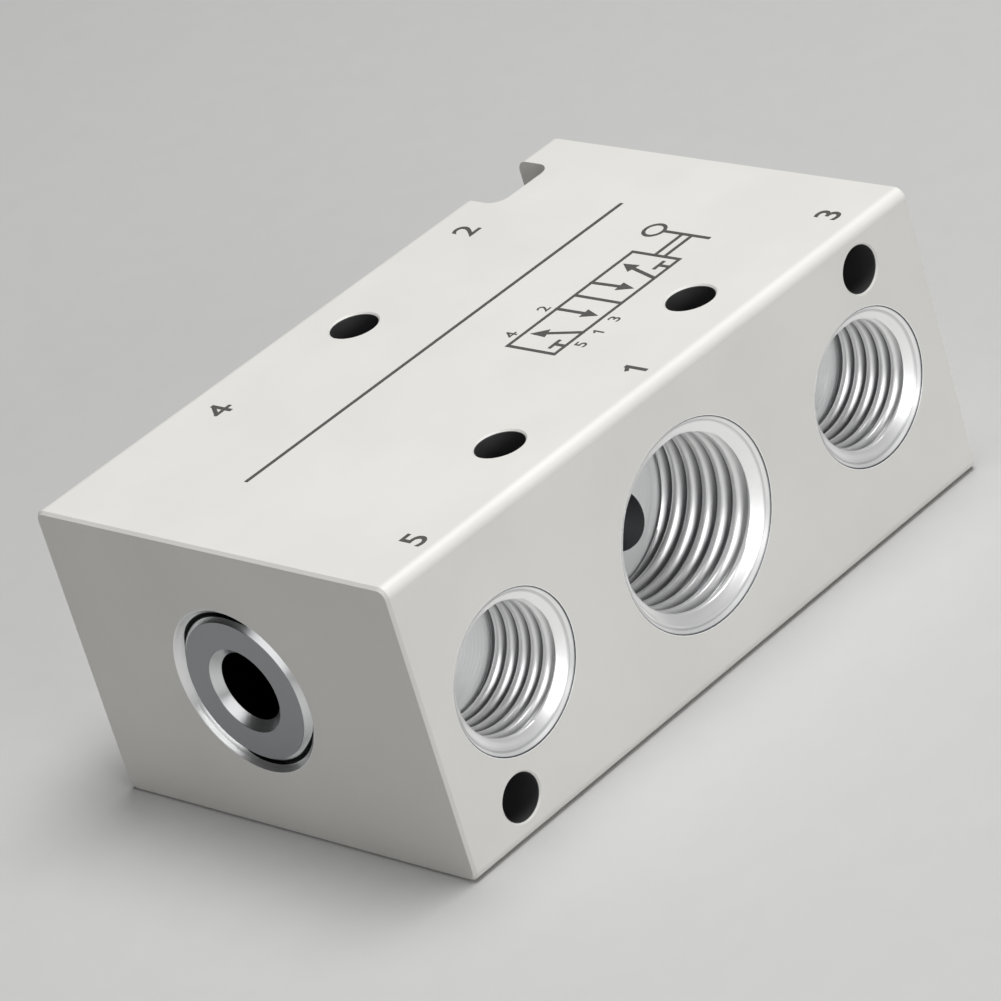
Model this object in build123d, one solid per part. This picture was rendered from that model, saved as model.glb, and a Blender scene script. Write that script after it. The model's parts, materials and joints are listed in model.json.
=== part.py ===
from build123d import *
from math import radians, tan
import os

# A five-port, two-position spool valve body with its spool, seals and end bushes.
# Millimetres. X runs along the spool, from the breather end (-X) to the lever end (+X).
# The supply and exhaust ports open on the -Y side, the two outlets on the +Y side.
# The origin is the middle of the bottom face, with +Z up.

# Block
body_length = 52.6
body_width = 32.9
body_height = 22.0
long_edge_radius = 0.8
end_edge_break = 0.2
hole_edge_break = 0.15

# Pipe ports, with the wall at the thread's major diameter
quarter_thread_radius = 6.58
eighth_thread_radius = 4.86
port_countersink = 0.7
supply_port_depth = 9.2
outlet_port_depth = 8.4
exhaust_port_depth = 6.9
port_floor_drop = 0.6       # how much deeper the floor's cone is at its middle
exhaust_port_lead = 4.1     # from an exhaust's annulus to its port's axis, towards the end
outlet_port_lead = 2.1      # from an outlet's annulus to its port's axis, towards the end
supply_passage_radius = 2.1
supply_passage_mouth = (1.7, -2.3)     # of the passage's mouth, along and up from the port's axis
supply_passage_end = (0.4, -0.9)       # of its inner end, in the same way
outlet_passage_radius = 2.1
exhaust_passage_radius = 1.5
exhaust_passage_start = 0.5 # from the port's axis to where the slanted passage starts
passage_clearance = 0.4     # radial, from the bore's wall to the end of a passage
passage_overrun = 1.0       # times its radius, of a slanted drill before it meets the floor

# Fixing holes
face_hole_radius = 1.7
face_pair_half_spacing = 9.65
face_pair_inset = 5.25      # from the port side
face_single_inset = 5.05    # from the outlet side
side_hole_radius = 1.65
side_hole_near_inset = 5.5  # from the breather end
side_hole_far_inset = 6.0   # from the lever end
side_hole_rise = 7.95       # from the middle of the height
notch_width = 5.8
notch_depth = 3.4
notch_corner = 1.2
notch_reach = 3.25          # from the hole's axis towards the middle of the height
notch_shift = 0.6           # from the hole's axis to the notch's middle, away from the lever end

# Spool bore
bore_shift_y = 0.8
bore_radius = 5.2
seat_radius = 5.6           # the wider seats for the two end bushes
seat_depth = 4.6
seat_chamfer = 0.55
annulus_width = 2.6
annulus_depth = 1.0

# Spool and what rides on it
spool_travel = 2.9
running_gap = 0.1           # radial, of the spool's lands in the bore
stop_gap = 0.2              # between the spool and a bush at either limit of its travel
seal_width = 1.2
seal_root_radius = 3.7
seal_gap = 0.01             # radial, of a seal's lip on what it slides on
seal_fit_gap = 0.02         # between a ring and the sides of its groove
switch_margin = 0.5         # from a switching seal to the annulus beside it
end_margin = 0.15           # from an end seal to the exhaust's annulus
seal_lip_round = 0.35
guide_ring_width = 1.0
guide_ring_root_radius = 4.2
groove_web = 0.4
land_rim = 0.4
neck_radius = 2.9
neck_fillet = 0.5
spool_end_hole_radius = 2.4
spool_end_hole_depth = 9.0
spool_edge_break = 0.2
tail_radius = 3.0
tail_setback = 0.4          # of the tail's tip inside the far face, at full travel
link_thread_radius = 1.25
link_thread_depth = 6.0

# Breather-end bush
bush_setback = 0.1
bush_bevel = 0.45
bush_hole_radius = 2.55
bush_hole_chamfer = 0.6
ring_groove_depth = 1.0
ring_groove_width = 1.5
ring_round = 0.35

# Lever-end guide
clip_thickness = 0.9
clip_groove_width = 1.0
clip_groove_depth = 0.5
clip_groove_gap = 0.02      # radial, from the clip to its groove's floor
clip_setback = 0.7
clip_radial_width = 1.4
clip_gap_angle = 50.0
clip_ear_radius = 1.0
clip_ear_overlap = 0.55
clip_ear_angle = 6.0        # past the edge of the clip's opening
clip_eye_radius = 0.45
guide_bore_gap = 0.05
guide_ring_groove_depth = 0.8
tail_seal_width = 1.3
tail_seal_root = 1.1
bracket_screw_radius = 1.25
bracket_screw_depth = 3.6
bracket_screw_inset_y = 4.0
bracket_screw_inset_z = 3.6

# Worked out from the sizes above
near_x = -body_length / 2
far_x = body_length / 2
port_side = -body_width / 2
outlet_side = body_width / 2
middle_z = body_height / 2
bore_y = bore_shift_y
spool_rest_x = -spool_travel / 2
land_radius = bore_radius - running_gap
seat_reach = far_x - seat_depth         # from the middle to either bush
spool_half_length = seat_reach - stop_gap - spool_travel / 2
guide_ring_x = spool_half_length - land_rim - guide_ring_width / 2
end_seal_x = guide_ring_x - guide_ring_width / 2 - groove_web - seal_width / 2
annulus_pitch = (end_seal_x - seal_width / 2 - end_margin - spool_travel / 2 - annulus_width / 2) / 2
switch_offset = annulus_width / 2 + switch_margin + seal_width / 2 - spool_travel / 2
switch_seals = [annulus_pitch + switch_offset, annulus_pitch - switch_offset]
seal_places = sorted([end_seal_x, -end_seal_x] + switch_seals + [-s for s in switch_seals])
exhaust_port_x = 2 * annulus_pitch + exhaust_port_lead
outlet_port_x = annulus_pitch + outlet_port_lead
clip_outer_x = far_x - clip_setback
clip_inner_x = clip_outer_x - clip_groove_width


def rod(radius, length, start, direction):
    """A cylinder from a start point along a direction."""
    return Plane(origin=start, z_dir=direction) * Cylinder(
        radius, length, align=(Align.CENTER, Align.CENTER, Align.MIN))


def turned(points, shift_x=0.0):
    """A solid of revolution about the spool's axis, from (x, radius) corners."""
    profile = make_face(Polyline(*points, close=True))
    solid = revolve(profile, Axis.X)
    return Pos(shift_x, bore_y, middle_z) * solid


def ring(inner, outer, width, centre_x, rounding=0.0, round_inside=False):
    """A ring about the spool's axis, with its outer corners (or all four) rounded."""
    half = width / 2
    corners = [(-half, inner), (half, inner), (half, outer), (-half, outer)]
    profile = make_face(Polyline(*corners, close=True))
    if rounding:
        chosen = [v for v in profile.vertices() if round_inside or v.Y > (inner + outer) / 2]
        profile = fillet(chosen, rounding)
    return Pos(centre_x, bore_y, middle_z) * revolve(profile, Axis.X)


def port_tool(x, side, thread_radius, depth):
    """What a pipe port removes: a countersunk mouth, a straight wall and a shallow cone of a floor."""
    profile = make_face(Polyline(
        (0, 0), (thread_radius + port_countersink, 0), (thread_radius, port_countersink),
        (thread_radius, depth), (0, depth + port_floor_drop), close=True))
    solid = revolve(profile, Axis.Y)
    if side > 0:
        solid = Rot(0, 0, 180) * solid
    face_y = outlet_side if side > 0 else port_side
    return Pos(x, face_y, middle_z) * solid


def outlet_passage(x):
    """A passage from an outlet port's floor, square into the annulus of the bore beside it."""
    start_y = bore_y + bore_radius + passage_clearance
    length = outlet_side - outlet_port_depth + port_floor_drop - start_y
    return rod(outlet_passage_radius, length, (x, start_y, middle_z), (0, 1, 0))


def slanted_passage(radius, port_depth, mouth, end):
    """A passage drilled at an angle through a port on the port side, into the annulus behind it.
    Its mouth on the port's floor and its inner end are given as (x, height above the port's axis)."""
    start = Vector(mouth[0], port_side + port_depth, middle_z + mouth[1])
    stop = Vector(end[0], bore_y - bore_radius - passage_clearance, middle_z + end[1])
    run = (stop - start).normalized()
    overrun = radius * passage_overrun
    return rod(radius, (stop - start).length + overrun, start - run * overrun, run)


def notch(centre_x, opens_up):
    """A notch milled in the outlet side behind a fixing hole, open to the top or bottom."""
    hole_z = middle_z + (side_hole_rise if opens_up else -side_hole_rise)
    inner_z = hole_z - notch_reach if opens_up else hole_z + notch_reach
    edge_z = body_height + notch_depth if opens_up else -notch_depth
    block = Pos(centre_x, outlet_side, (edge_z + inner_z) / 2) * Box(
        notch_width, 2 * notch_depth, abs(edge_z - inner_z))
    floor_corners = [e for e in block.edges().filter_by(Axis.Z)
                     if e.center().Y < outlet_side]
    return fillet(floor_corners, notch_corner)


def fixing_hole(start, direction, radius, length):
    """A plain through hole with its two edges broken."""
    along = Vector(*direction)
    tool = rod(radius, length, start, along)
    for mouth, inward in ((Vector(*start), along), (Vector(*start) + along * length, -along)):
        cone = Plane(origin=mouth, z_dir=inward) * Cone(
            radius + hole_edge_break, radius, hole_edge_break,
            align=(Align.CENTER, Align.CENTER, Align.MIN))
        tool = tool + cone
    return tool


def bore_tool():
    """The spool's bore with its five annuli, the two bush seats and the clip's groove."""
    tool = turned([(near_x, 0), (near_x, bore_radius), (far_x, bore_radius), (far_x, 0)])
    for number in range(-2, 3):
        tool += ring(0, bore_radius + annulus_depth, annulus_width, number * annulus_pitch)
    for side in (-1, 1):
        end_x = side * body_length / 2
        tool += turned([(side * seat_reach, 0), (side * seat_reach, seat_radius),
                        (end_x - side * seat_chamfer, seat_radius),
                        (end_x, seat_radius + seat_chamfer), (end_x, 0)])
    groove_x = (clip_inner_x + clip_outer_x) / 2
    tool += ring(0, seat_radius + clip_groove_depth, clip_groove_width, groove_x)
    return tool


def valve_body():
    """The machined block, with every port, passage, fixing hole and recess."""
    block = Box(body_length, body_width, body_height, align=(Align.CENTER, Align.CENTER, Align.MIN))
    block = fillet(block.edges().filter_by(Axis.X), long_edge_radius)
    end_edges = block.faces().sort_by(Axis.X)[0].edges() + block.faces().sort_by(Axis.X)[-1].edges()
    block = chamfer(end_edges, end_edge_break)

    block -= bore_tool()
    block -= port_tool(0, -1, quarter_thread_radius, supply_port_depth)
    block -= slanted_passage(supply_passage_radius, supply_port_depth, supply_passage_mouth,
                             supply_passage_end)
    for side in (-1, 1):
        block -= port_tool(side * exhaust_port_x, -1, eighth_thread_radius, exhaust_port_depth)
        block -= slanted_passage(exhaust_passage_radius, exhaust_port_depth,
                                 (side * (exhaust_port_x - exhaust_passage_start), 0),
                                 (side * 2 * annulus_pitch, 0))
        block -= port_tool(side * outlet_port_x, 1, quarter_thread_radius, outlet_port_depth)
        block -= outlet_passage(side * annulus_pitch)

    pair_y = port_side + face_pair_inset
    single_y = outlet_side - face_single_inset
    for x, y in ((-face_pair_half_spacing, pair_y), (face_pair_half_spacing, pair_y), (0, single_y)):
        block -= fixing_hole((x, y, 0), (0, 0, 1), face_hole_radius, body_height)
    side_hole_near_x = near_x + side_hole_near_inset
    side_hole_far_x = far_x - side_hole_far_inset
    side_hole_length = body_width - notch_depth
    for x, rise in ((side_hole_near_x, -side_hole_rise), (side_hole_far_x, side_hole_rise)):
        block -= fixing_hole((x, port_side, middle_z + rise), (0, 1, 0), side_hole_radius,
                             side_hole_length)
    block -= notch(side_hole_near_x, False)
    block -= notch(side_hole_far_x - notch_shift, True)

    for y, z in ((outlet_side - bracket_screw_inset_y, bracket_screw_inset_z),
                 (port_side + bracket_screw_inset_y, body_height - bracket_screw_inset_z)):
        block -= rod(bracket_screw_radius, bracket_screw_depth, (far_x, y, z), (-1, 0, 0))
    return block


def spool_profile():
    """The upper half outline of the turned spool, from its breather end to the tail's tip."""
    half = spool_half_length
    tail_tip = far_x - tail_setback - spool_travel - spool_rest_x
    points = [(-half, 0), (-half, land_radius)]

    def groove(centre, width, root):
        points.extend([(centre - width / 2, land_radius), (centre - width / 2, root),
                       (centre + width / 2, root), (centre + width / 2, land_radius)])

    def neck(start, end):
        points.extend([(start, land_radius), (start, neck_radius),
                       (end, neck_radius), (end, land_radius)])

    wide = seal_width + 2 * seal_fit_gap
    guide_wide = guide_ring_width + 2 * seal_fit_gap
    rim = seal_width / 2 + land_rim
    outer_seal, inner_seal = switch_seals
    groove(-guide_ring_x, guide_wide, guide_ring_root_radius)
    groove(-end_seal_x, wide, seal_root_radius)
    neck(-end_seal_x + rim, -outer_seal - rim)
    groove(-outer_seal, wide, seal_root_radius)
    groove(-inner_seal, wide, seal_root_radius)
    neck(-inner_seal + rim, inner_seal - rim)
    groove(inner_seal, wide, seal_root_radius)
    groove(outer_seal, wide, seal_root_radius)
    neck(outer_seal + rim, end_seal_x - rim)
    groove(end_seal_x, wide, seal_root_radius)
    groove(guide_ring_x, guide_wide, guide_ring_root_radius)
    points.extend([(half, land_radius), (half, tail_radius), (tail_tip, tail_radius), (tail_tip, 0)])
    return points, tail_tip


def spool():
    """The sliding spool: grooved lands, thin necks, a hollow breather end and a tapped tail."""
    points, tail_tip = spool_profile()
    solid = turned(points, spool_rest_x)
    root_edges = [e for e in solid.edges().filter_by(GeomType.CIRCLE)
                  if abs(e.radius - neck_radius) < 0.001]
    solid = fillet(root_edges, neck_fillet)
    end_edges = [e for e in solid.edges().filter_by(GeomType.CIRCLE)
                 if abs(abs(e.center().X - spool_rest_x) - spool_half_length) < 0.001
                 and abs(e.radius - land_radius) < 0.001]
    tip_edges = [e for e in solid.edges().filter_by(GeomType.CIRCLE)
                 if abs(e.center().X - spool_rest_x - tail_tip) < 0.001]
    solid = chamfer(end_edges + tip_edges, spool_edge_break)
    solid -= rod(spool_end_hole_radius, spool_end_hole_depth,
                 (spool_rest_x - spool_half_length, bore_y, middle_z), (1, 0, 0))
    solid -= rod(link_thread_radius, link_thread_depth,
                 (spool_rest_x + tail_tip, bore_y, middle_z), (-1, 0, 0))
    return solid


def end_bush():
    """The bevelled bush in the breather end, with a groove for its ring."""
    front = near_x + bush_setback
    back = -seat_reach
    groove_x = (front + bush_bevel + back) / 2
    groove_root = seat_radius - ring_groove_depth
    half_ring = ring_groove_width / 2
    solid = turned([(front, bush_hole_radius + bush_hole_chamfer),
                    (front, seat_radius - bush_bevel), (front + bush_bevel, seat_radius),
                    (groove_x - half_ring, seat_radius), (groove_x - half_ring, groove_root),
                    (groove_x + half_ring, groove_root), (groove_x + half_ring, seat_radius),
                    (back, seat_radius), (back, bush_hole_radius),
                    (front + bush_hole_chamfer, bush_hole_radius)])
    return solid, groove_x


def tail_guide():
    """The lever-end guide that the tail slides through, grooved outside and inside."""
    front = seat_reach
    back = clip_inner_x
    middle = (front + back) / 2
    bore = tail_radius + guide_bore_gap
    seal_root = tail_radius + tail_seal_root
    ring_root = seat_radius - guide_ring_groove_depth
    half_ring = ring_groove_width / 2
    half_seal = tail_seal_width / 2
    solid = turned([(front, bore), (front, seat_radius), (middle - half_ring, seat_radius),
                    (middle - half_ring, ring_root), (middle + half_ring, ring_root),
                    (middle + half_ring, seat_radius), (back, seat_radius), (back, bore),
                    (middle + half_seal, bore), (middle + half_seal, seal_root),
                    (middle - half_seal, seal_root), (middle - half_seal, bore)])
    return solid, middle, ring_root, seal_root


def tail_guide_clip():
    """An internal retaining ring: a thin open ring with an eyed ear at each end."""
    outer = seat_radius + clip_groove_depth - clip_groove_gap
    inner = outer - clip_radial_width
    x = (clip_inner_x + clip_outer_x) / 2
    plane = Plane(origin=(x, bore_y, middle_z), x_dir=(0, 1, 0), z_dir=(1, 0, 0))
    band = Circle(outer) - Circle(inner)
    reach = 2 * outer
    half_gap = reach * tan(radians(clip_gap_angle / 2))
    band -= Rot(0, 0, 90) * make_face(Polyline((0, 0), (reach, -half_gap), (reach, half_gap), close=True))
    ear_reach = inner - clip_ear_radius + clip_ear_overlap
    for side in (-1, 1):
        place = Rot(0, 0, 90 + side * (clip_gap_angle / 2 + clip_ear_angle)) * Pos(ear_reach, 0)
        band += place * Circle(clip_ear_radius)
        band -= place * Circle(clip_eye_radius)
    solid = extrude(plane * band, clip_thickness / 2, both=True)
    return solid


def main():
    os.makedirs("parts", exist_ok=True)
    bush, bush_groove_x = end_bush()
    guide, guide_groove_x, ring_root, seal_root = tail_guide()
    nodes = {"valve_body": valve_body(), "spool": spool(), "end_bush": bush, "tail_guide": guide,
             "tail_guide_clip": tail_guide_clip()}
    ring_width = ring_groove_width - 2 * seal_fit_gap
    nodes["end_bush_seal"] = ring(seat_radius - ring_groove_depth, seat_radius, ring_width,
                                  bush_groove_x, ring_round, True)
    nodes["tail_guide_seal"] = ring(ring_root, seat_radius, ring_width, guide_groove_x,
                                    ring_round, True)
    nodes["tail_seal"] = ring(tail_radius + seal_gap, seal_root, tail_seal_width - 2 * seal_fit_gap,
                              guide_groove_x, ring_round, True)
    for number, place in enumerate(seal_places, 1):
        nodes[f"spool_seal_{number}"] = ring(seal_root_radius, bore_radius - seal_gap, seal_width,
                                             spool_rest_x + place, seal_lip_round)
    for name, side in (("near", -1), ("far", 1)):
        nodes[f"spool_guide_ring_{name}"] = ring(
            guide_ring_root_radius, bore_radius - seal_gap, guide_ring_width,
            spool_rest_x + side * guide_ring_x)
    for name, solid in nodes.items():
        export_step(solid, f"parts/{name}.step")


main()
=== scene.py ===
import json
import math

import bpy
import numpy as np
from mathutils import Matrix, Vector


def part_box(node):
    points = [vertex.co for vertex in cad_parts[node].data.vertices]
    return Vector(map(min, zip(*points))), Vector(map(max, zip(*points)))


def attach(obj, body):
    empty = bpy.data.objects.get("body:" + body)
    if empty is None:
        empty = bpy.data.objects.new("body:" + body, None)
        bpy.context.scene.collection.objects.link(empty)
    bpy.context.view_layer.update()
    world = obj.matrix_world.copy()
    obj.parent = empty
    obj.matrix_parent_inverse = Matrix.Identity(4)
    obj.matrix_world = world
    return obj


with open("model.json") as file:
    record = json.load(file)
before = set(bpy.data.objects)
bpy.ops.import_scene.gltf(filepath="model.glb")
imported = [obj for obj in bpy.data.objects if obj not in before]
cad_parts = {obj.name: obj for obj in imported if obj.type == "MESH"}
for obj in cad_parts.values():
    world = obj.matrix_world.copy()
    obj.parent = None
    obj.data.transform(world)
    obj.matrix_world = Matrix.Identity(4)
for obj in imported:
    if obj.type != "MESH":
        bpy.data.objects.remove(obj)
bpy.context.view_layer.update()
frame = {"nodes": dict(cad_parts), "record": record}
mm = 0.001
mounts = {mount["name"]: mount for mount in frame["record"]["mounts"]}
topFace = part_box("valve_body")[1][2]
bushLow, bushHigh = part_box("end_bush")
boreAxis = tuple((bushLow + bushHigh) / 2)
bushRadius = (bushHigh[1] - bushLow[1]) / 2


# Small helpers for nodes and meshes

def linearFromHex(hexColour):
    channels = [int(hexColour[start:start + 2], 16) / 255 for start in (1, 3, 5)]
    linear = [c / 12.92 if c <= 0.04045 else ((c + 0.055) / 1.055) ** 2.4 for c in channels]
    return linear + [1.0]


def addNode(tree, kind, settings=None, inputs=None):
    # inputs gives each of the node's inputs a number, a colour, a place or another node's output
    node = tree.nodes.new(kind)
    for name, value in (settings or {}).items():
        setattr(node, name, value)
    for name, value in (inputs or {}).items():
        if isinstance(value, bpy.types.NodeSocket):
            tree.links.new(value, node.inputs[name])
        else:
            node.inputs[name].default_value = value
    return node


def startMaterial(name, values):
    material = bpy.data.materials.new(name)
    material.use_nodes = True
    tree = material.node_tree
    shader = tree.nodes["Principled BSDF"]
    shader.inputs["Base Color"].default_value = linearFromHex(values["hex"])
    shader.inputs["Metallic"].default_value = values["metallic"]
    shader.inputs["Roughness"].default_value = values["roughness"]
    place = addNode(tree, "ShaderNodeTexCoord").outputs["Object"]
    return material, tree, shader, place


def applyPattern(tree, shader, pattern, values):
    # one pattern varies the colour, roughness and relief of a finish, as far as values names them
    colour = None
    if "lowHex" in values:
        ramp = addNode(tree, "ShaderNodeValToRGB", None, {"Fac": pattern})
        ramp.color_ramp.elements[0].color = linearFromHex(values["lowHex"])
        ramp.color_ramp.elements[1].color = linearFromHex(values["highHex"])
        colour = ramp.outputs["Color"]
        tree.links.new(colour, shader.inputs["Base Color"])
    if "smooth" in values:
        spread = addNode(tree, "ShaderNodeMapRange", None,
                         {"Value": pattern, "To Min": values["smooth"], "To Max": values["rough"]})
        tree.links.new(spread.outputs["Result"], shader.inputs["Roughness"])
    if "relief" in values:
        bump = addNode(tree, "ShaderNodeBump", None,
                       {"Height": pattern, "Strength": values["bump"], "Distance": values["relief"]})
        tree.links.new(bump.outputs["Normal"], shader.inputs["Normal"])
    return colour


def paintWhere(tree, colour, paints):
    # lays each hex colour over what is there, where its mask is 1
    for mask, hexColour in paints:
        colour = addNode(tree, "ShaderNodeMix", {"data_type": "RGBA"},
                         {0: mask, 6: colour, 7: linearFromHex(hexColour)}).outputs[2]
    return colour


def meshFromGrid(name, points, wrapRows, wrapColumns):
    # points[row, column] is a place; neighbours in rows and columns share a four-sided face
    rows, columns = points.shape[:2]
    index = np.arange(rows * columns).reshape(rows, columns)
    nextRow = np.roll(index, -1, axis=0)
    nextColumn = np.roll(index, -1, axis=1)
    corner = np.roll(nextRow, -1, axis=1)
    faces = np.stack([index, nextColumn, corner, nextRow], axis=-1)
    faces = faces[:rows if wrapRows else rows - 1, :columns if wrapColumns else columns - 1]
    mesh = bpy.data.meshes.new(name)
    mesh.from_pydata(points.reshape(-1, 3).tolist(), [], faces.reshape(-1, 4).tolist())
    mesh.update()
    return mesh


def addPiece(name, mesh, material, body, smooth=True):
    mesh.polygons.foreach_set("use_smooth", np.full(len(mesh.polygons), smooth))
    mesh.materials.clear()
    mesh.materials.append(material)
    piece = bpy.data.objects.new(name, mesh)
    bpy.context.scene.collection.objects.link(piece)
    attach(piece, body)


def finishNode(node, material):
    for slot in frame["nodes"][node].material_slots:
        slot.material = material


# Materials: one function each, named for the real finish

# the real block's blasting grain and tool marks are finer: these are as coarse as they need to be to show
anodised = {"hex": "#D8D7D3", "shadeHex": "#D4D3CF", "cutHex": "#F4F5F5", "drilledShadeHex": "#3E3E3F",
            "passageShadeHex": "#4C4D4F", "metallic": 0.05, "cutMetallic": 0.3, "seatMetallic": 0.9,
            "roughness": 0.54, "cutRoughness": 0.3, "cloud": 9 * mm, "cloudFrom": 0.35, "cloudTo": 0.65,
            "grain": 0.14 * mm, "toolPitch": 0.3 * mm, "toolDepth": 1.5, "bump": 0.12, "relief": 0.02 * mm,
            "edge": 0.03 * mm, "countersink": 0.7 * mm, "seatChamfer": 0.55 * mm,
            "supplyPassage": ((1.7, -7.25, 8.7), (0.4, -4.8, 10.1)), "passageRadius": 2.1 * mm,
            "passageReach": 4.2 * mm}
# painted shade along the foot of the groove round the bush, widest above and below
seamShade = {"hex": "#141415", "width": 0.17 * mm, "leastWidth": 0.02 * mm, "lean": (0, 0.31, 0.95),
        "start": 0.62, "full": 0.92}


def holeMask(tree, place, centre, axis, radius, side=None, reach=None):
    # 1 within the radius of the hole's axis and, where they are given, on one side of the block or
    # within reach of the centre
    offset = addNode(tree, "ShaderNodeVectorMath", {"operation": "SUBTRACT"}, {0: place, 1: centre})
    around = addNode(tree, "ShaderNodeVectorMath", {"operation": "CROSS_PRODUCT"},
                     {0: offset.outputs[0], 1: tuple(Vector(axis).normalized())})
    distance = addNode(tree, "ShaderNodeVectorMath", {"operation": "LENGTH"},
                       {0: around.outputs[0]}).outputs["Value"]
    inside = addNode(tree, "ShaderNodeMath", {"operation": "LESS_THAN"}, {0: distance, 1: radius})
    if side:
        along = addNode(tree, "ShaderNodeVectorMath", {"operation": "DOT_PRODUCT"}, {0: place, 1: side})
        onSide = addNode(tree, "ShaderNodeMath", {"operation": "GREATER_THAN"},
                         {0: along.outputs["Value"], 1: 0.0})
        inside = addNode(tree, "ShaderNodeMath", {"operation": "MULTIPLY"},
                         {0: inside.outputs[0], 1: onSide.outputs[0]})
    if reach:
        span = addNode(tree, "ShaderNodeVectorMath", {"operation": "LENGTH"}, {0: offset.outputs[0]})
        near = addNode(tree, "ShaderNodeMath", {"operation": "LESS_THAN"},
                       {0: span.outputs["Value"], 1: reach})
        inside = addNode(tree, "ShaderNodeMath", {"operation": "MULTIPLY"},
                         {0: inside.outputs[0], 1: near.outputs[0]})
    return inside.outputs[0], distance


def offsetFromBore(tree, place):
    # each point's offset across the bore's axis, and its length
    offset = addNode(tree, "ShaderNodeVectorMath", {"operation": "SUBTRACT"}, {0: place, 1: boreAxis})
    across = addNode(tree, "ShaderNodeVectorMath", {"operation": "MULTIPLY"},
                     {0: offset.outputs[0], 1: (0, 1, 1)}).outputs[0]
    radius = addNode(tree, "ShaderNodeVectorMath", {"operation": "LENGTH"}, {0: across})
    return across, radius.outputs["Value"]


def seamShadeMask(tree, place):
    # 1 along the foot of the groove round the bush, where shade is painted dark
    across, radius = offsetFromBore(tree, place)
    lean = addNode(tree, "ShaderNodeVectorMath", {"operation": "DOT_PRODUCT"}, {0: across, 1: seamShade["lean"]})
    lean = addNode(tree, "ShaderNodeMath", {"operation": "DIVIDE"}, {0: lean.outputs["Value"], 1: radius})
    lean = addNode(tree, "ShaderNodeMath", {"operation": "ABSOLUTE"}, {0: lean.outputs[0]})
    width = addNode(tree, "ShaderNodeMapRange", {"interpolation_type": "SMOOTHSTEP"},
                    {"Value": lean.outputs[0], "From Min": seamShade["start"], "From Max": seamShade["full"],
                     "To Min": seamShade["leastWidth"], "To Max": seamShade["width"]})
    away = addNode(tree, "ShaderNodeMath", {"operation": "SUBTRACT"}, {0: radius, 1: bushRadius})
    away = addNode(tree, "ShaderNodeMath", {"operation": "ABSOLUTE"}, {0: away.outputs[0]})
    return addNode(tree, "ShaderNodeMath", {"operation": "LESS_THAN"},
                   {0: away.outputs[0], 1: width.outputs["Result"]}).outputs[0]


def cutHoles():
    # holes cut after anodising: centre, axis, mouth radius, side of the block
    holes = [(mount["pos_m"], mount["axis"], mount["dims"]["r_mm"] * mm + anodised["countersink"],
              mount["axis"]) for name, mount in mounts.items() if name.startswith("port_")]
    return holes + [(boreAxis, (1, 0, 0), bushRadius + anodised["seatChamfer"], None)]


def drilledHoles():
    # deep drilled holes, painted dark inside as shade: centre, axis, radius
    pair = mounts["face_fixing_pair"]
    half = pair["dims"]["spacing_x_mm"] * mm / 2
    holes = [((side * half, pair["pos_m"][1], 0), pair["axis"], pair["dims"]["hole_r_mm"] * mm)
             for side in (-1, 1)]
    for name in ("face_fixing_single", "side_fixing_low", "side_fixing_high"):
        holes.append((mounts[name]["pos_m"], mounts[name]["axis"], mounts[name]["dims"]["r_mm"] * mm))
    return holes


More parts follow.
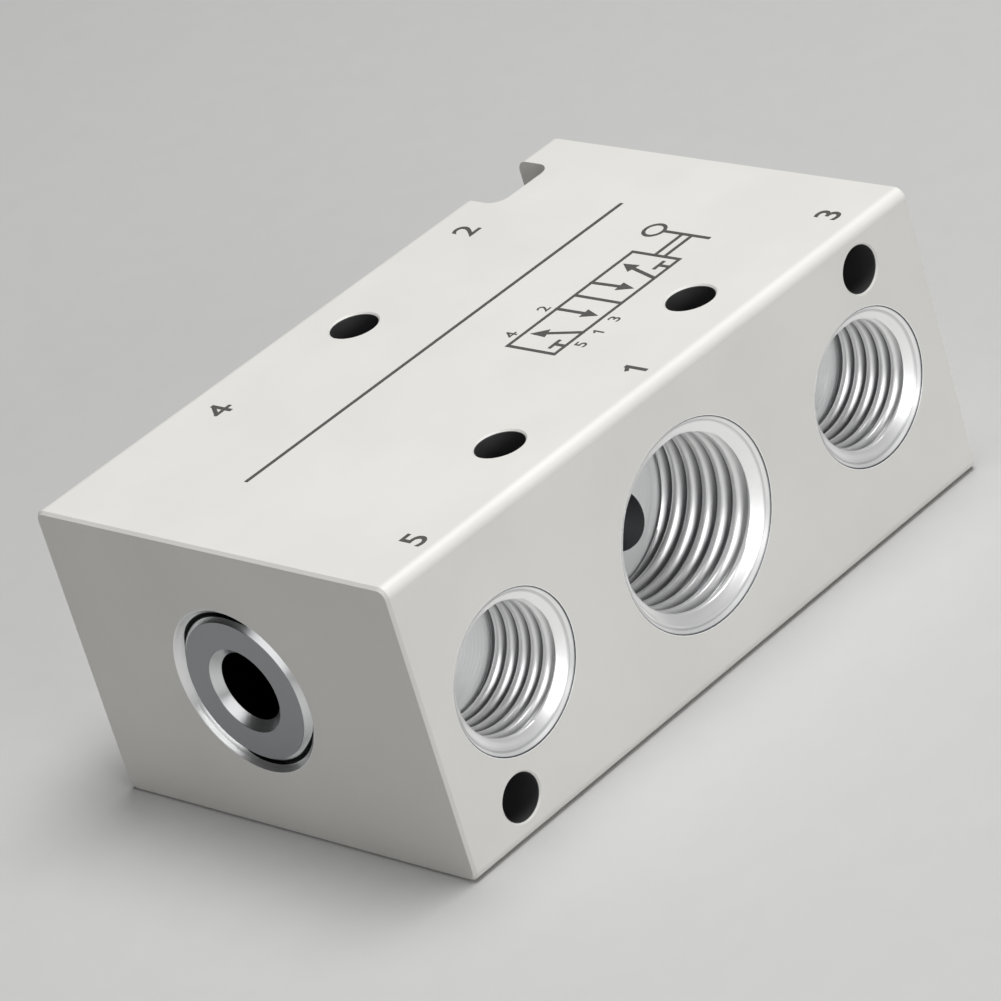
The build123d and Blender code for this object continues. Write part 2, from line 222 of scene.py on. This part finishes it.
def anodisedAluminium():
    # clear anodised over fine blasting: a pale, even satin, bright only where it was cut afterwards
    values = anodised
    material, tree, shader, place = startMaterial("clear_anodised_aluminium", values)
    cut, rings, holeShade = 0.0, 0.0, 0.0
    for centre, axis, radius, side in cutHoles():
        mask, distance = holeMask(tree, place, centre, axis, radius + values["edge"], side)
        ring = addNode(tree, "ShaderNodeMath", {"operation": "MULTIPLY"}, {0: mask, 1: distance}).outputs[0]
        cut = addNode(tree, "ShaderNodeMath", {"operation": "MAXIMUM"}, {0: mask, 1: cut}).outputs[0]
        rings = addNode(tree, "ShaderNodeMath", {"operation": "ADD"}, {0: ring, 1: rings}).outputs[0]
    # painted shade: the deep drilled holes are coloured dark inside
    for centre, axis, radius in drilledHoles():
        mask, distance = holeMask(tree, place, centre, axis, radius + values["edge"])
        holeShade = addNode(tree, "ShaderNodeMath", {"operation": "MAXIMUM"}, {0: mask, 1: holeShade}).outputs[0]
    # painted shade: the supply passage is coloured dark inside
    start, end = [Vector(corner) * mm for corner in values["supplyPassage"]]
    passageShade, distance = holeMask(tree, place, (start + end) / 2, end - start,
                                 values["passageRadius"] + values["edge"], None, values["passageReach"])

    cloud = addNode(tree, "ShaderNodeTexNoise", None,
                    {"Vector": place, "Scale": 1 / values["cloud"], "Detail": 3.0, "Roughness": 0.5})
    face = addNode(tree, "ShaderNodeValToRGB", None, {"Fac": cloud.outputs["Fac"]})
    face.color_ramp.elements[0].position = values["cloudFrom"]
    face.color_ramp.elements[1].position = values["cloudTo"]
    face.color_ramp.elements[0].color = linearFromHex(values["shadeHex"])
    face.color_ramp.elements[1].color = linearFromHex(values["hex"])
    # painted shade in the passage, the drilled holes and the foot of the groove round the bush
    colour = paintWhere(tree, face.outputs["Color"],
                        [(cut, values["cutHex"]), (passageShade, values["passageShadeHex"]),
                         (holeShade, values["drilledShadeHex"]), (seamShadeMask(tree, place), seamShade["hex"])])
    tree.links.new(colour, shader.inputs["Base Color"])

    metallic = addNode(tree, "ShaderNodeMapRange", None,
                       {"Value": cut, "To Min": values["metallic"], "To Max": values["cutMetallic"]})
    seat, distance = holeMask(tree, place, boreAxis, (1, 0, 0), bushRadius + values["seatChamfer"])
    seat = addNode(tree, "ShaderNodeMath", {"operation": "MULTIPLY"}, {0: seat, 1: values["seatMetallic"]})
    metallic = addNode(tree, "ShaderNodeMath", {"operation": "MAXIMUM"},
                       {0: metallic.outputs["Result"], 1: seat.outputs[0]})
    tree.links.new(metallic.outputs[0], shader.inputs["Metallic"])
    roughness = addNode(tree, "ShaderNodeMapRange", None,
                        {"Value": cut, "To Min": values["roughness"], "To Max": values["cutRoughness"]})
    tree.links.new(roughness.outputs["Result"], shader.inputs["Roughness"])

    # blasting grain on the faces, concentric tool marks where a hole was cut
    grain = addNode(tree, "ShaderNodeTexNoise", None,
                    {"Vector": place, "Scale": 1 / values["grain"], "Detail": 2.0, "Roughness": 0.6})
    marks = addNode(tree, "ShaderNodeMath", {"operation": "MULTIPLY"},
                    {0: rings, 1: 2 * math.pi / values["toolPitch"]})
    marks = addNode(tree, "ShaderNodeMath", {"operation": "SINE"}, {0: marks.outputs[0]})
    marks = addNode(tree, "ShaderNodeMath", {"operation": "MULTIPLY"},
                    {0: marks.outputs[0], 1: values["toolDepth"]})
    marks = addNode(tree, "ShaderNodeMath", {"operation": "MULTIPLY"}, {0: marks.outputs[0], 1: cut})
    height = addNode(tree, "ShaderNodeMath", {"operation": "ADD"},
                     {0: grain.outputs["Fac"], 1: marks.outputs[0]})
    applyPattern(tree, shader, height.outputs[0], values)
    return material


bushLook = {"hex": "#8E8F93", "metallic": 1.0, "roughness": 0.3, "lowHex": "#8E8F93", "highHex": "#96979B",
            "smooth": 0.25, "rough": 0.37, "feed": 0.12 * mm, "bump": 0.05, "relief": 0.01 * mm,
            "bevelHex": "#E8E9EA", "holeAndSeamShadeHex": "#161617", "faceSkin": 0.03 * mm, "bevelDepth": 0.62 * mm}
spoolLook = {"hex": "#C6C8CA", "metallic": 1.0, "roughness": 0.2, "lowHex": "#C6C8CA", "highHex": "#D6D8DA",
             "smooth": 0.15, "rough": 0.27, "feed": 0.08 * mm, "bump": 0.08, "relief": 0.01 * mm}
guideLook = {"hex": "#B99A5B", "metallic": 1.0, "roughness": 0.28, "lowHex": "#B99A5B", "highHex": "#CDB174",
             "smooth": 0.23, "rough": 0.35, "feed": 0.12 * mm, "bump": 0.12, "relief": 0.01 * mm}


def turnedMetal(name, values):
    # turned on a lathe: fine rings about the bore's axis, which stretch its highlights across them
    material, tree, shader, place = startMaterial(name, values)
    across, radius = offsetFromBore(tree, place)
    along = addNode(tree, "ShaderNodeSeparateXYZ", None, {0: place}).outputs["X"]
    steps = addNode(tree, "ShaderNodeMath", {"operation": "ADD"}, {0: radius, 1: along})
    steps = addNode(tree, "ShaderNodeMath", {"operation": "MULTIPLY"},
                    {0: steps.outputs[0], 1: 1 / values["feed"]})
    lines = addNode(tree, "ShaderNodeTexNoise", {"noise_dimensions": "1D"},
                    {"W": steps.outputs[0], "Scale": 1.0, "Detail": 2.0, "Roughness": 0.6})
    colour = applyPattern(tree, shader, lines.outputs["Fac"], values)
    if "bevelHex" in values:
        # the end face stays dull, the bevels cut after it are bright, and the hole and the rim's foot are
        # painted dark as shade
        bevel = addNode(tree, "ShaderNodeMath", {"operation": "GREATER_THAN"},
                        {0: along, 1: bushLow[0] + values["faceSkin"]})
        inside = addNode(tree, "ShaderNodeMath", {"operation": "GREATER_THAN"},
                         {0: along, 1: bushLow[0] + values["bevelDepth"]})
        holeAndSeamShade = addNode(tree, "ShaderNodeMath", {"operation": "MAXIMUM"},
                       {0: inside.outputs[0], 1: seamShadeMask(tree, place)})
        colour = paintWhere(tree, colour, [(bevel.outputs[0], values["bevelHex"]),
                                           (holeAndSeamShade.outputs[0], values["holeAndSeamShadeHex"])])
        tree.links.new(colour, shader.inputs["Base Color"])
    return material


rubberLook = {"hex": "#19191A", "metallic": 0.0, "roughness": 0.62, "lowHex": "#151516",
              "highHex": "#232324", "smooth": 0.55, "rough": 0.7, "bloom": 1.2 * mm, "bump": 0.1,
              "relief": 0.02 * mm}


def mouldedRubber():
    # black nitrile, moulded: dull, with a faint bloom
    material, tree, shader, place = startMaterial("moulded_nitrile_rubber", rubberLook)
    bloom = addNode(tree, "ShaderNodeTexNoise", None,
                    {"Vector": place, "Scale": 1 / rubberLook["bloom"], "Detail": 4.0})
    applyPattern(tree, shader, bloom.outputs["Fac"], rubberLook)
    return material


ringLook = {"hex": "#D8D3C6", "metallic": 0.0, "roughness": 0.4, "lowHex": "#CFC9BB", "highHex": "#DFDBD0",
            "smooth": 0.35, "rough": 0.48, "speckle": 0.5 * mm, "subsurface": 0.05}


def turnedAcetal():
    # turned acetal of the guide rings: off white and slightly waxy
    material, tree, shader, place = startMaterial("turned_acetal", ringLook)
    speckle = addNode(tree, "ShaderNodeTexNoise", None,
                      {"Vector": place, "Scale": 1 / ringLook["speckle"], "Detail": 3.0})
    applyPattern(tree, shader, speckle.outputs["Fac"], ringLook)
    shader.inputs["Subsurface Weight"].default_value = ringLook["subsurface"]
    return material


clipLook = {"hex": "#3B3D40", "metallic": 1.0, "roughness": 0.42, "lowHex": "#323437", "highHex": "#55585C",
            "smooth": 0.35, "rough": 0.55, "speckle": 0.3 * mm, "bump": 0.1, "relief": 0.01 * mm}


def springSteel():
    # phosphated spring steel: dark, with a slight blue, lighter in random specks
    material, tree, shader, place = startMaterial("phosphated_spring_steel", clipLook)
    speckle = addNode(tree, "ShaderNodeTexNoise", None,
                      {"Vector": place, "Scale": 1 / clipLook["speckle"], "Detail": 4.0})
    applyPattern(tree, shader, speckle.outputs["Fac"], clipLook)
    return material


inkLook = {"hex": "#4A4947", "metallic": 0.0, "roughness": 0.55, "lowHex": "#454442", "highHex": "#565553",
           "smooth": 0.5, "rough": 0.62, "thin": 0.25 * mm}


def printedInk():
    # pad-printed ink: dark grey, slightly thin in places
    material, tree, shader, place = startMaterial("pad_printed_ink", inkLook)
    thin = addNode(tree, "ShaderNodeTexNoise", None,
                   {"Vector": place, "Scale": 1 / inkLook["thin"], "Detail": 3.0})
    applyPattern(tree, shader, thin.outputs["Fac"], inkLook)
    return material


tappedLook = {"hex": "#F2F3F3", "metallic": 0.55, "roughness": 0.34, "smooth": 0.3, "rough": 0.4,
              "crestHex": "#FAFAFA", "crestTo": 0.3, "grooveShadeHex": "#7C7D80", "grooveAt": 0.88,
              "shadeLineHex": "#3E3F42", "blotch": 0.12, "drag": 1.6 * mm, "stretch": (1, 14, 1), "bump": 0.1,
              "relief": 0.01 * mm}


def tappedAluminium():
    # tapped bare aluminium: bright crests with the tap's fine drag lines, and painted shade darkening each
    # groove
    values = tappedLook
    material, tree, shader, place = startMaterial("tapped_aluminium", values)
    drag = addNode(tree, "ShaderNodeMapping", None, {"Vector": place, "Scale": values["stretch"]})
    lines = addNode(tree, "ShaderNodeTexNoise", None,
                    {"Vector": drag.outputs["Vector"], "Scale": 1 / values["drag"], "Detail": 3.0})
    # painted shade: the grooves are darkened from each point's attribute
    groove = addNode(tree, "ShaderNodeAttribute", {"attribute_name": "groove"})
    blotch = addNode(tree, "ShaderNodeMath", {"operation": "MULTIPLY"},
                     {0: lines.outputs["Fac"], 1: values["blotch"]})
    shadeLevel = addNode(tree, "ShaderNodeMath", {"operation": "ADD"},
                    {0: groove.outputs["Fac"], 1: blotch.outputs[0]})
    ramp = addNode(tree, "ShaderNodeValToRGB", None, {"Fac": shadeLevel.outputs[0]})
    ramp.color_ramp.elements[0].position = values["crestTo"]
    ramp.color_ramp.elements[1].position = values["grooveAt"]
    ramp.color_ramp.elements[0].color = linearFromHex(values["crestHex"])
    ramp.color_ramp.elements[1].color = linearFromHex(values["grooveShadeHex"])
    ramp.color_ramp.elements.new(1.0).color = linearFromHex(values["shadeLineHex"])
    tree.links.new(ramp.outputs["Color"], shader.inputs["Base Color"])
    applyPattern(tree, shader, lines.outputs["Fac"], values)
    return material


anodisedFinish = anodisedAluminium()
bushFinish = turnedMetal("turned_plated_steel", bushLook)
spoolFinish = turnedMetal("polished_turned_aluminium", spoolLook)
guideFinish = turnedMetal("turned_brass", guideLook)
rubberFinish = mouldedRubber()
ringFinish = turnedAcetal()
clipFinish = springSteel()
inkFinish = printedInk()
threadFinish = tappedAluminium()
slotFinish = {"body": anodisedFinish, "bush": bushFinish, "spool": spoolFinish, "guide": guideFinish,
              "clip": clipFinish, "seal": rubberFinish, "guide_ring": ringFinish}
for part in frame["record"]["subparts"]:
    finishNode(part["node"], slotFinish[part["material_slot"]])
print("finishes on", len(frame["nodes"]), "nodes")


# Threads cut in the ports

quarterThread = {"pitch": 1.36 * mm, "depth": 0.55 * mm, "firstCrest": 1.45 * mm}
eighthThread = {"pitch": 1.08 * mm, "depth": 0.42 * mm, "firstCrest": 1.15 * mm}
threadGrid = {"around": 144, "perPitch": 24, "embed": 0.01 * mm, "skin": 0.012 * mm, "start": 0.02 * mm,
              "endGap": 0.05 * mm, "mouth": 0.7 * mm, "shoulder": 0.35 * mm, "leadSlope": 2.0, "fade": 0.25,
              "crestSpread": 1.3, "crestSink": 0.1, "sharpAngle": math.radians(50), "quarterFrom": 6}
# how dark the painted shade is: in the grooves, in the first turn, and in the fine shadow lines at the
# shoulder and the edge
threadShadeLevels = {"groove": 0.85, "firstTurn": 0.3, "fullAfter": 1.3, "shoulder": 0.45, "edge": 1.0,
               "lineReach": 1.6, "shoulderLine": 0.05 * mm, "edgeLine": 0.09 * mm}


def threadMesh(name, mount, values):
    # The inner wall's radius at angle a and depth s is the root's radius less the thread's height times a
    # rounded triangle wave of s / pitch - a / (2 pi): one ridge that climbs a pitch in each turn. The root
    # follows the countersink and then the wall. From the shoulder, halfway down the countersink, a steeper
    # cone cuts the first turn away. The attribute groove keeps how much painted shade each point gets.
    axis = np.array(mount["axis"], float)
    wall = mount["dims"]["r_mm"] * mm
    length = mount["dims"]["length_mm"] * mm
    mouthDepth, shoulder = threadGrid["mouth"], threadGrid["shoulder"]
    mouth = np.array(mount["pos_m"], float) + axis * (length / 2 + mouthDepth)
    start, end = threadGrid["start"], mouthDepth + length - threadGrid["endGap"]
    rowCount = int((end - start) / values["pitch"] * threadGrid["perPitch"])
    depth = np.linspace(start, end, rowCount)[:, None]
    angle = np.linspace(0, 2 * np.pi, threadGrid["around"], endpoint=False)[None, :]
    phase = (depth - values["firstCrest"]) / values["pitch"] - angle / (2 * np.pi) + 0.5
    triangle = 1 - np.abs(2 * (phase - np.floor(phase)) - 1)
    wave = np.clip(triangle * threadGrid["crestSpread"] - threadGrid["crestSink"], 0, 1)
    wave = wave * wave * (3 - 2 * wave)
    fade = np.clip((end - depth) / (threadGrid["fade"] * values["pitch"]), 0, 1)
    root = wall + np.maximum(mouthDepth - depth, 0) - threadGrid["skin"]
    ridge = root - (root - wall + values["depth"]) * wave * fade
    lead = wall + mouthDepth - shoulder - threadGrid["leadSlope"] * (depth - shoulder)
    inner = np.minimum(np.maximum(ridge, lead), root)
    height = (root - inner) / (root - wall + values["depth"])
    # painted shade: dark in the grooves, lighter in the first turn, and thin shadow lines at the shoulder
    # and the mouth's edge
    lineReach = threadShadeLevels["lineReach"]
    shoulderLine = lineReach - np.abs(depth - shoulder) / threadShadeLevels["shoulderLine"]
    shoulderLine = np.clip(shoulderLine, 0, threadShadeLevels["shoulder"])
    edgeLine = np.clip(lineReach - depth / threadShadeLevels["edgeLine"], 0, threadShadeLevels["edge"])
    firstTurn = (depth - shoulder) / (threadShadeLevels["fullAfter"] * values["pitch"])
    firstTurn = np.clip(firstTurn, threadShadeLevels["firstTurn"], 1)
    groove = np.where(depth < shoulder, 0, threadShadeLevels["groove"] * (1 - height) * firstTurn)
    groove = np.maximum(np.maximum(groove, shoulderLine), edgeLine)
    middle = int((mouthDepth - start) / (end - start) * rowCount) + 1
    outer = (wall + np.maximum(mouthDepth - depth, 0) + threadGrid["embed"])[[middle, 0, -1]]
    around = np.ones_like(angle)
    radii = np.concatenate([outer[:2] * around, inner, outer[2:] * around])
    depths = np.concatenate([depth[[middle, 0]], depth, depth[-1:]]) * around
    shadeLevel = np.concatenate([np.ones((2, 1)) * around, groove, around])
    up = np.array((0, 0, 1.0))
    across = np.cross(axis, up)
    points = (mouth - depths[..., None] * axis + (radii * np.cos(angle))[..., None] * across
              + (radii * np.sin(angle))[..., None] * up)
    mesh = meshFromGrid(name, points, True, True)
    mesh.attributes.new("groove", "FLOAT", "POINT").data.foreach_set("value", shadeLevel.ravel())
    mesh.set_sharp_from_angle(angle=threadGrid["sharpAngle"])
    return mesh


for name, mount in mounts.items():
    if name.startswith("port_"):
        quarter = mount["dims"]["r_mm"] > threadGrid["quarterFrom"]
        mesh = threadMesh(name + "_thread", mount, quarterThread if quarter else eighthThread)
        addPiece(name + "_thread", mesh, threadFinish, "housing")
print("threads cut")


# Print on the top face: a rule, a valve symbol and plain numbers

printed = {"thickness": 0.012 * mm, "step": 0.001 * mm, "sunk": 0.006 * mm, "ruleWidth": 0.32 * mm,
           "symbolWidth": 0.29 * mm, "ruleStart": (-18.65, 3.45), "ruleEnd": (19.15, 3.4),
           "markHeight": 1.95, "smallHeight": 0.95, "weight": 0.03 * mm, "drawnWidth": 0.16,
           "capShare": 0.7, "curveSteps": 6, "ringSides": 48}
# the font's 1 is a bare bar and its 4 loses its counter, so both are drawn, in shares of their height
drawnMarks = {"1": [((0.06, -0.42), (0.06, 0.42)), ((0.02, 0.37), (-0.14, 0.25))],
              "4": [((0.12, -0.42), (0.12, 0.42)), ((0.09, 0.36), (-0.29, -0.16)),
                    ((-0.29, -0.17), (0.32, -0.17))]}


def strokes(name, segments, width):
    # each segment becomes a flat bar: its two ends, moved half a width to either side, at two heights
    ends = np.array(segments, float) * mm
    along = ends[:, 1] - ends[:, 0]
    along /= np.linalg.norm(along, axis=1)[:, None]
    side = np.stack([-along[:, 1], along[:, 0]], axis=1) * width / 2
    cap = along * width / 2
    corners = np.stack([ends[:, 0] - cap - side, ends[:, 1] + cap - side, ends[:, 1] + cap + side,
                        ends[:, 0] - cap + side], axis=1)
    return prismMesh(name, corners)


def prismMesh(name, corners, below=0):
    # corners[shape, corner] are flat outlines, anticlockwise, raised into thin closed plates. Each stands a
    # step higher than the one before, and all stand above the number below, so that no two tops coincide
    count, sides = corners.shape[:2]
    low = np.full((count, sides, 1), topFace - printed["sunk"])
    order = np.arange(below, below + count)[:, None, None]
    high = topFace + printed["thickness"] + printed["step"] * order + 0 * low
    points = np.concatenate([np.concatenate([corners, low], axis=2),
                             np.concatenate([corners, high], axis=2)], axis=1)
    first = np.arange(count)[:, None] * 2 * sides
    ring = np.arange(sides)
    top = first + sides + ring
    bottom = first + ring[::-1]
    walls = np.stack([first + ring, first + np.roll(ring, -1), first + sides + np.roll(ring, -1),
                      first + sides + ring], axis=-1)
    faces = top.tolist() + bottom.tolist() + walls.reshape(-1, 4).tolist()
    mesh = bpy.data.meshes.new(name)
    mesh.from_pydata(points.reshape(-1, 3).tolist(), [], faces)
    mesh.update()
    return mesh


def fontMark(name, text, height):
    # a mark in the built-in font, centred on the origin and as thick as the ink
    curve = bpy.data.curves.new(name, "FONT")
    curve.body = text
    curve.size = height / printed["capShare"] * mm
    curve.align_x = "CENTER"
    curve.align_y = "CENTER"
    curve.extrude = (printed["thickness"] + printed["sunk"]) / 2
    curve.offset = printed["weight"] * min(height / printed["markHeight"], 1)
    curve.resolution_u = printed["curveSteps"]
    holder = bpy.data.objects.new(name, curve)
    bpy.context.scene.collection.objects.link(holder)
    bpy.context.view_layer.update()
    depsgraph = bpy.context.evaluated_depsgraph_get()
    mesh = bpy.data.meshes.new_from_object(holder.evaluated_get(depsgraph))
    bpy.data.objects.remove(holder)
    return mesh


def textMesh(name, marks):
    # marks is a list of (text, height in mm, x, y); each is centred on its place and raised like ink
    vertices, faces = [], []
    for text, height, x, y in marks:
        if text in drawnMarks:
            shape = strokes(name, np.array(drawnMarks[text]) * height + (x, y),
                            printed["drawnWidth"] * height * mm)
        else:
            shape = fontMark(name, text, height)
            level = topFace + (printed["thickness"] - printed["sunk"]) / 2
            shape.transform(Matrix.Translation((x * mm, y * mm, level)))
        start = len(vertices)
        vertices.extend(vertex.co[:] for vertex in shape.vertices)
        faces.extend([start + v for v in polygon.vertices] for polygon in shape.polygons)
    mesh = bpy.data.meshes.new(name)
    mesh.from_pydata(vertices, [], faces)
    mesh.update()
    return mesh


rule = strokes("printed_rule", [(printed["ruleStart"], printed["ruleEnd"])], printed["ruleWidth"])
addPiece("printed_rule", rule, inkFinish, "housing", smooth=False)

# The valve symbol as measured, in mm on the top face: two boxes, each with a blocked port and two flows
symbol = {"left": 0.8, "middle": 7.7, "right": 13.77, "low": -6.72, "high": -2.44, "tick": 0.95,
          "tickHalf": 0.44, "head": 1.3, "headHalf": 0.5, "shaftStop": 1.0, "stemRows": (-4.45, -5.32),
          "barX": 16.75, "barRows": (-2.75, -6.8), "knob": (16.7, -1.9), "knobRadius": 0.78}
flows = [((3.74, -6.72), (2.55, -2.95)), ((5.83, -2.44), (5.86, -6.2)),
         ((11.14, -6.72), (12.19, -2.95)), ((9.44, -2.44), (9.59, -6.2))]
blocked = [1.9, 12.7]


def symbolSegments():
    # every straight line of the symbol, as its two ends
    left, middle, right = symbol["left"], symbol["middle"], symbol["right"]
    low, high = symbol["low"], symbol["high"]
    segments = [((left, low), (right, low)), ((left, high), (right, high))]
    segments += [((x, low), (x, high)) for x in (left, middle, right)]
    for x in blocked:
        top = low + symbol["tick"]
        segments += [((x, low), (x, top)), ((x - symbol["tickHalf"], top), (x + symbol["tickHalf"], top))]
    segments += [((right, row), (symbol["barX"], row)) for row in symbol["stemRows"]]
    segments.append(tuple((symbol["barX"], row) for row in symbol["barRows"]))
    for start, end in flows:
        run = np.array(end) - np.array(start)
        stop = np.array(end) - run / np.linalg.norm(run) * symbol["shaftStop"]
        segments.append((start, tuple(stop)))
    return segments


def arrowHeads():
    # each head is a triangle with its tip at the flow's end
    ends = np.array(flows, float)
    along = ends[:, 1] - ends[:, 0]
    along /= np.linalg.norm(along, axis=1)[:, None]
    side = np.stack([-along[:, 1], along[:, 0]], axis=1) * symbol["headHalf"]
    base = ends[:, 1] - along * symbol["head"]
    return np.stack([ends[:, 1], base + side, base - side], axis=1) * mm


def knobRing(name):
    # a flat ring: its section's four corners are carried round a circle of the knob's radius
    half = printed["symbolWidth"] / 2
    radii = symbol["knobRadius"] * mm + np.array([-half, half, half, -half])[None, :]
    high = printed["thickness"] - printed["step"]
    heights = topFace + np.array([-printed["sunk"]] * 2 + [high] * 2)[None, :]
    angle = np.linspace(0, 2 * np.pi, printed["ringSides"], endpoint=False)[:, None]
    x, y = np.array(symbol["knob"]) * mm
    points = np.stack([x + radii * np.cos(angle), y + radii * np.sin(angle), heights + 0 * angle], axis=-1)
    return meshFromGrid(name, points, True, True)


symbolLines = strokes("printed_symbol_lines", symbolSegments(), printed["symbolWidth"])
addPiece("printed_symbol_lines", symbolLines, inkFinish, "housing", smooth=False)
heads = prismMesh("printed_symbol_arrowheads", arrowHeads(), len(symbolSegments()))
addPiece("printed_symbol_arrowheads", heads, inkFinish, "housing", smooth=False)
knob = knobRing("printed_symbol_knob")
addPiece("printed_symbol_knob", knob, inkFinish, "housing", smooth=False)

portMarks = [("4", -11.98, 12.82), ("2", 13.08, 12.64), ("5", -20.88, -14.11), ("1", 0.78, -13.96),
             ("3", 21.63, -13.61)]
smallMarks = [("4", 2.1, -1.55), ("2", 5.58, -1.5), ("5", 2.39, -7.78), ("1", 4.07, -7.8),
              ("3", 5.83, -7.78)]
for name, height, marks in (("printed_port_numbers", printed["markHeight"], portMarks),
                            ("printed_symbol_numbers", printed["smallHeight"], smallMarks)):
    mesh = textMesh(name, [(text, height, x, y) for text, x, y in marks])
    addPiece(name, mesh, inkFinish, "housing", smooth=False)
print("top face printed")


# Floor, lamps and camera

# Power is in watts, sizes and places in metres. The side light is a strip, laid along the arc of
# directions that the bevels round the bush mirror.
stage = {"reach": 3.0, "worldHex": "#FFFFFF", "worldLevel": 0.02, "lampAlong": (0, 0.1, 1)}
boardLook = {"hex": "#BCBCBB", "metallic": 0.0, "roughness": 0.75, "lowHex": "#B8B8B7",
             "highHex": "#BCBCBB", "grain": 3 * mm}
lamps = {"key_softbox": {"power": 4.0, "size": (0.34, 0.34), "place": (0.09, -0.06, 0.58)},
         "front_softbox": {"power": 1.6, "size": (0.34, 0.24), "place": (-0.12, -0.59, 0.15)},
         "side_strip": {"power": 0.31, "size": (0.1, 0.5), "place": (-0.443, -0.13, 0.255),
                        "along": (0.12, 0.775, 0.62)}}


def paintedBoard():
    # matt painted board: pale grey all over, with a grain that hardly shows
    material, tree, shader, place = startMaterial("matt_painted_board", boardLook)
    grain = addNode(tree, "ShaderNodeTexNoise", None,
                    {"Vector": place, "Scale": 1 / boardLook["grain"], "Detail": 3.0})
    applyPattern(tree, shader, grain.outputs["Fac"], boardLook)
    return material


reach = stage["reach"]
floorPoints = np.array([[(-reach, -reach, 0), (reach, -reach, 0)], [(-reach, reach, 0), (reach, reach, 0)]])
floorMesh = meshFromGrid("floor", floorPoints, False, False)
floorMesh.materials.append(paintedBoard())
floor = bpy.data.objects.new("floor", floorMesh)
bpy.context.scene.collection.objects.link(floor)

world = bpy.data.worlds.new("soft_room")
world.use_nodes = True
bpy.context.scene.world = world
background = world.node_tree.nodes["Background"]
background.inputs["Color"].default_value = linearFromHex(stage["worldHex"])
background.inputs["Strength"].default_value = stage["worldLevel"]

for name, values in lamps.items():
    light = bpy.data.lights.new(name, "AREA")
    light.shape = "RECTANGLE"
    light.energy = values["power"]
    light.size, light.size_y = values["size"]
    lamp = bpy.data.objects.new(name, light)
    place = Vector(values["place"])
    back = (place - Vector((0, 0, topFace / 2))).normalized()
    across = Vector(values.get("along", stage["lampAlong"])).cross(back).normalized()
    aim = Matrix((across, back.cross(across), back)).transposed().to_4x4()
    lamp.matrix_world = Matrix.Translation(place) @ aim
    bpy.context.scene.collection.objects.link(lamp)

# The camera's place and turn were fitted to the photograph's block, whose near top left corner leads
cameraFit = {"place": (-0.21007, -0.25097, 0.17829), "ahead": (0.56852, 0.68457, -0.45623),
             "up": (0.5042, 0.14827, 0.85076), "lens": 197.0, "sensor": 36.0, "clipStart": 0.01}
cameraData = bpy.data.cameras.new("camera")
cameraData.lens = cameraFit["lens"]
cameraData.sensor_width = cameraFit["sensor"]
cameraData.clip_start = cameraFit["clipStart"]
camera = bpy.data.objects.new("camera", cameraData)
ahead = Vector(cameraFit["ahead"]).normalized()
right = ahead.cross(Vector(cameraFit["up"])).normalized()
turn = Matrix((right, right.cross(ahead), -ahead)).transposed().to_4x4()
camera.matrix_world = Matrix.Translation(Vector(cameraFit["place"])) @ turn
bpy.context.scene.collection.objects.link(camera)
bpy.context.scene.camera = camera
bpy.context.scene.view_settings.view_transform = "Standard"
print("stage set")
